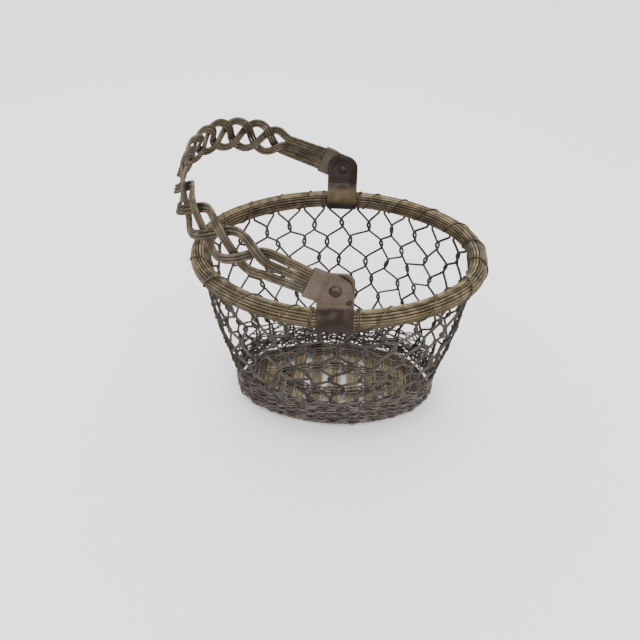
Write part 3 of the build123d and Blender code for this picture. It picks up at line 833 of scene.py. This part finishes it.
# ------------------------------------------------------------------ handle
# Sizes of the handle in mm: reach is measured from the line through the pivots.
HANDLE = {
    "reach": 130.0,         # to the middle of the bow
    "arm": 60.0,            # to the end of the straight arms
    "toe": radians(5),      # by which the arms lean in
    "bow_radius": 140.0,    # of the wide arc
    "mouth": 21.0,          # to the mouths of the ferrules
    "span": 97.9,           # from the middle of the basket to a mouth
    "half_width": 12.6,     # of the plait, to the middle of a strand
    "depth": 2.6,           # a strand goes over and under by
    "thirds": 11,           # arcs along one edge of the plait
    "front_pace": 0.80,     # of the plait at the front, with 1 the middle pace
    "ease": 9.0,            # over which a strand turns out of a fan
    "front_fan": 26.0,      # length of the flat fan of wires beside each ferrule
    "back_fan": 34.0,
    "wire_depth": 9.0,      # the wires go into a ferrule
}


def bow_sizes():
    """The bow is a straight arm, a tight arc that touches it and a wide arc, mirrored at the middle."""
    h = HANDLE
    toe = h["toe"]
    span = h["span"]
    arm_end = (h["arm"], span - (h["arm"] - h["mouth"]) * tan(toe))
    centre = h["reach"] - h["bow_radius"]
    normal = (-sin(toe), -cos(toe))
    away = (arm_end[0] - centre, arm_end[1])
    tight = (h["bow_radius"] ** 2 - away[0] ** 2 - away[1] ** 2) / (
        2 * (h["bow_radius"] + away[0] * normal[0] + away[1] * normal[1])
    )
    tight_centre = (arm_end[0] + tight * normal[0], arm_end[1] + tight * normal[1])
    wide_turn = atan(tight_centre[1] / (tight_centre[0] - centre))
    arm_run = (arm_end[0] - h["mouth"]) / cos(toe)
    tight_run = tight * (pi / 2 - toe - wide_turn)
    half_run = arm_run + tight_run + h["bow_radius"] * wide_turn
    return centre, tight, tight_centre, arm_run, tight_run, half_run


def bow_at(run):
    """Reach, span and outward direction of the handle's middle line, a run from the front mouth."""
    h = HANDLE
    centre, tight, tight_centre, arm_run, tight_run, half_run = bow_sizes()
    mirrored = np.where(run <= half_run, 1.0, -1.0)
    run = np.minimum(run, 2 * half_run - run)
    toe = h["toe"]
    in_arm = run <= arm_run
    in_tight = run <= arm_run + tight_run
    tight_turn = pi / 2 - toe - (run - arm_run) / tight
    turn = np.where(in_tight, tight_turn, (half_run - run) / h["bow_radius"])
    turn = np.where(in_arm, pi / 2 - toe, turn)
    out = np.stack([np.cos(turn), np.sin(turn)], -1)
    on_arm = np.stack([h["mouth"] + run * cos(toe), h["span"] - run * sin(toe)], -1)
    on_tight = np.array(tight_centre) + tight * out
    on_wide = np.array([centre, 0.0]) + h["bow_radius"] * out
    on_bow = np.where(in_tight[..., None], on_tight, on_wide)
    place = np.where(in_arm[..., None], on_arm, on_bow)
    return place[..., 0], -mirrored * place[..., 1], out[..., 0], -mirrored * out[..., 1]


class BASKET_OT_handle(bpy.types.Operator):
    """Plait the handle from three strands of three wires"""

    STRANDS = 3
    STRAND_WIRES = 3
    POINTS = 330

    bl_idname = "basket.handle"
    bl_label = "Plaited handle"

    def execute(self, context):
        sizes = context.scene.handle_settings
        h = HANDLE
        rng = np.random.default_rng(61)
        half_run = bow_sizes()[-1]
        plait = 2 * half_run - h["front_fan"] - h["back_fan"]
        wire_pitch = sizes.wire_pitch / MM
        y_dir = np.array([0, 1, 0])
        reach_dir = np.array([-cos(sizes.lean), 0, sin(sizes.lean)])
        width_dir = np.array([sin(sizes.lean), 0, cos(sizes.lean)])
        inner = h["mouth"] - h["wire_depth"]
        run = np.linspace(0, 2 * half_run, self.POINTS)
        share = run / (2 * half_run)
        for strand in range(self.STRANDS):
            side, outward = self.strand_at(strand, run - h["front_fan"], plait, wire_pitch)
            slope = np.gradient(side, run)
            stretch = np.hypot(1, slope)
            for wire in range(self.STRAND_WIRES):
                shift = (wire - 1) * wire_pitch
                wire_side = side + shift / stretch
                reach, span, out_reach, out_span = bow_at(run - shift * slope / stretch)
                lift = outward + waves(share, rng, 0.12, (3, 5)) * np.sin(pi * share)
                along = reach + lift * out_reach
                out_y = span + lift * out_span
                # Each end goes straight into its ferrule.
                along = np.concatenate([[inner, inner + 4], along, [inner + 4, inner]])
                out_y = np.concatenate([[-h["span"]] * 2, out_y, [h["span"]] * 2])
                sideways = np.concatenate([[wire_side[0]] * 2, wire_side, [wire_side[-1]] * 2])
                points = reach_dir * along[:, None] + width_dir * sideways[:, None]
                points = points + y_dir * out_y[:, None]
                points = points * MM + UP * PIVOT_HEIGHT
                outer = reach_dir * np.gradient(out_y)[:, None] - y_dir * np.gradient(along)[:, None]
                name = f"handle_strand_{strand + 1}_wire_{wire + 1}"
                tone = 0.35 + 0.4 * rng.random()
                radius = sizes.wire_radius
                piece = tubes("plaited_" + name, points, unit(outer), radius, 10, False, [tone])
                settle(piece, "handle", "handle_wire", FINISHES["handle"], name)
        return {"FINISHED"}

    def turns(self, past, plait):
        """Turns of the plait up to a run past the front fan, eased out of both fans.

        With s the share of the plait, the turns are a third of the arcs times s (pace + (1 - pace) s).
        """
        h = HANDLE
        ease, pace = h["ease"], h["front_pace"]
        at_start = np.maximum(0.0, ease - np.maximum(0.0, past)) ** 2 / (2 * ease)
        at_end = np.maximum(0.0, ease - np.maximum(0.0, plait - past)) ** 2 / (2 * ease)
        share = (np.clip(past, 0.0, plait) - ease / 2 + at_start - at_end) / (plait - ease)
        return h["thirds"] / 3 * share * (pace + (1 - pace) * share)

    def strand_at(self, strand, past, plait, wire_pitch):
        """Where a strand's middle lies: to the side by a sine of its turns, and outward by a sine of
        twice them, so that the three strands pass over and under in turn.
        """
        h = HANDLE
        fan_half = self.STRAND_WIRES * wire_pitch / sin(2 * pi / 3)
        phase = 2 * pi * (self.turns(past, plait) + strand / self.STRANDS)
        edge = np.minimum(past, plait - past)
        opening = smooth(edge * h["thirds"] / plait)
        half_width = fan_half + (h["half_width"] - fan_half) * opening
        in_fan = np.maximum(-past / h["front_fan"], (past - plait) / h["back_fan"])
        in_plait = 1 - np.maximum(0.0, in_fan)
        return half_width * np.sin(phase), h["depth"] * in_plait * np.sin(2 * phase)


# ------------------------------------------------------------------ sheet metal
class BASKET_OT_fittings(bpy.types.Operator):
    """Give the clips, ferrules, rivets, washers and core their finishes"""

    bl_idname = "basket.fittings"
    bl_label = "Clips, ferrules and rivets"

    def execute(self, context):
        finishes = {"rim_core_hoop": "core"}
        for side in ("front", "back"):
            finishes |= {
                f"{side}_clip": f"{side} clip",
                f"{side}_ferrule": "ear",
                f"{side}_pivot_washer": "strap",
                f"{side}_pivot_rivet": "rivet",
                f"{side}_clip_rivet": "rivet",
            }
        for name, label in finishes.items():
            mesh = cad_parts[name].data
            mesh.materials.clear()
            mesh.materials.append(FINISHES[label])
        return {"FINISHED"}


# ------------------------------------------------------------------ stage
class BASKET_OT_stage(bpy.types.Operator):
    """Set the floor, the soft lights and the camera"""

    FLOOR_HALF = 6.0
    FLOOR_COLOUR = (0.97, 0.97, 0.97, 1)
    STUDIO_LIGHT = 1.9
    # Name, place, watts and width of each soft light.
    LIGHTS = (
        ("overhead soft light", (-0.25, 0.35, 1.3), 9.0, 1.2),
        ("front soft light", (0.9, -1.1, 1.0), 4.5, 0.8),
    )

    bl_idname = "basket.stage"
    bl_label = "Floor, lights and camera"

    def execute(self, context):
        scene = context.scene
        size = self.FLOOR_HALF
        mesh = bpy.data.meshes.new("pale_floor")
        corners = [(-size, -size, 0), (size, -size, 0), (size, size, 0), (-size, size, 0)]
        mesh.from_pydata(corners, [], [(0, 1, 2, 3)])
        floor = bpy.data.objects.new("pale_floor", mesh)
        scene.collection.objects.link(floor)
        material = bpy.data.materials.new("pale floor")
        material.use_nodes = True
        shader = material.node_tree.nodes["Principled BSDF"]
        shader.inputs["Base Color"].default_value = self.FLOOR_COLOUR
        shader.inputs["Roughness"].default_value = 0.9
        mesh.materials.append(material)

        world = bpy.data.worlds.new("soft studio")
        world.use_nodes = True
        background = world.node_tree.nodes["Background"]
        background.inputs["Color"].default_value = (1, 1, 1, 1)
        background.inputs["Strength"].default_value = self.STUDIO_LIGHT
        scene.world = world

        for name, place, power, width in self.LIGHTS:
            data = bpy.data.lights.new(name, "AREA")
            data.energy = power
            data.size = width
            light = bpy.data.objects.new(name, data)
            light.location = place
            aim = np.array([0, 0, 0.1]) - np.array(place)
            back = unit(-aim)
            right = unit(np.cross(UP, back))
            above = np.cross(back, right)
            turn = Matrix([list(row) for row in np.array([right, above, back]).T])
            light.matrix_world = Matrix.Translation(place) @ turn.to_4x4()
            scene.collection.objects.link(light)

        scene.camera = self.camera()
        scene.collection.objects.link(scene.camera)
        return {"FINISHED"}

    def camera(self):
        """A camera aimed at the middle of the rim, off the middle of its frame and slightly rolled."""
        frame_width, focal, sensor = 640, 656.9, 36.0
        across_frame, up_frame = 18.7, -68.3
        distance, lift, turn, roll = 0.5588, radians(33.0), -0.0126, 0.0343
        target = np.array([0, 0, RIM_HEIGHT])
        towards = np.array([sin(turn) * cos(lift), cos(turn) * cos(lift), -sin(lift)])
        right = unit(np.cross(towards, UP))
        down = np.cross(towards, right)
        basis = np.array([right, down, towards])
        rolled = np.array([[cos(roll), -sin(roll), 0], [sin(roll), cos(roll), 0], [0, 0, 1]])
        # Turns the view so that the rim's middle lies beside the middle of the frame.
        off = unit(np.array([across_frame / focal, up_frame / focal, 1.0]))
        axis = np.cross(UP, off)
        skew = np.array([[0, -axis[2], axis[1]], [axis[2], 0, -axis[0]], [-axis[1], axis[0], 0]])
        aim = np.eye(3) + skew + skew @ skew / (1 + UP @ off)
        rows = aim @ rolled @ basis
        columns = np.array([rows[0], -rows[1], -rows[2]]).T
        data = bpy.data.cameras.new("camera")
        data.sensor_width = sensor
        data.lens = sensor * (focal / frame_width)
        data.clip_start = 0.01
        camera = bpy.data.objects.new("camera", data)
        place = target - distance * towards
        turned = Matrix([list(row) for row in columns]).to_4x4()
        camera.matrix_world = Matrix.Translation(place) @ turned
        return camera


class BASKET_PT_panel(bpy.types.Panel):
    """The basket's settings and the steps that make it"""

    bl_label = "Egg Basket"
    bl_idname = "BASKET_PT_panel"
    bl_space_type = "VIEW_3D"
    bl_region_type = "UI"
    bl_category = "Egg Basket"

    def draw(self, context):
        for group in SETTINGS:
            box = self.layout.box()
            owner = getattr(context.scene, group)
            for prop in type(owner).__annotations__:
                box.prop(owner, prop)
        for step in STEPS:
            self.layout.operator(step.bl_idname)


SETTINGS = {
    "rim_settings": RimSettings,
    "netting_settings": NettingSettings,
    "base_settings": BaseSettings,
    "handle_settings": HandleSettings,
    "basket_colours": BasketColours,
}
STEPS = (
    BASKET_OT_rim,
    BASKET_OT_binding,
    BASKET_OT_netting,
    BASKET_OT_border,
    BASKET_OT_floor,
    BASKET_OT_handle,
    BASKET_OT_fittings,
    BASKET_OT_stage,
)


def register():
    for cls in (*SETTINGS.values(), *STEPS, BASKET_PT_panel):
        bpy.utils.register_class(cls)
    for name, cls in SETTINGS.items():
        setattr(bpy.types.Scene, name, PointerProperty(type=cls))


def unregister():
    for name in SETTINGS:
        delattr(bpy.types.Scene, name)
    for cls in (BASKET_PT_panel, *reversed(STEPS), *reversed(list(SETTINGS.values()))):
        bpy.utils.unregister_class(cls)


def main():
    register()
    FINISHES.update(make_finishes())
    for step in STEPS:
        group, name = step.bl_idname.split(".")
        getattr(getattr(bpy.ops, group), name)()


if __name__ == "__main__":
    main()
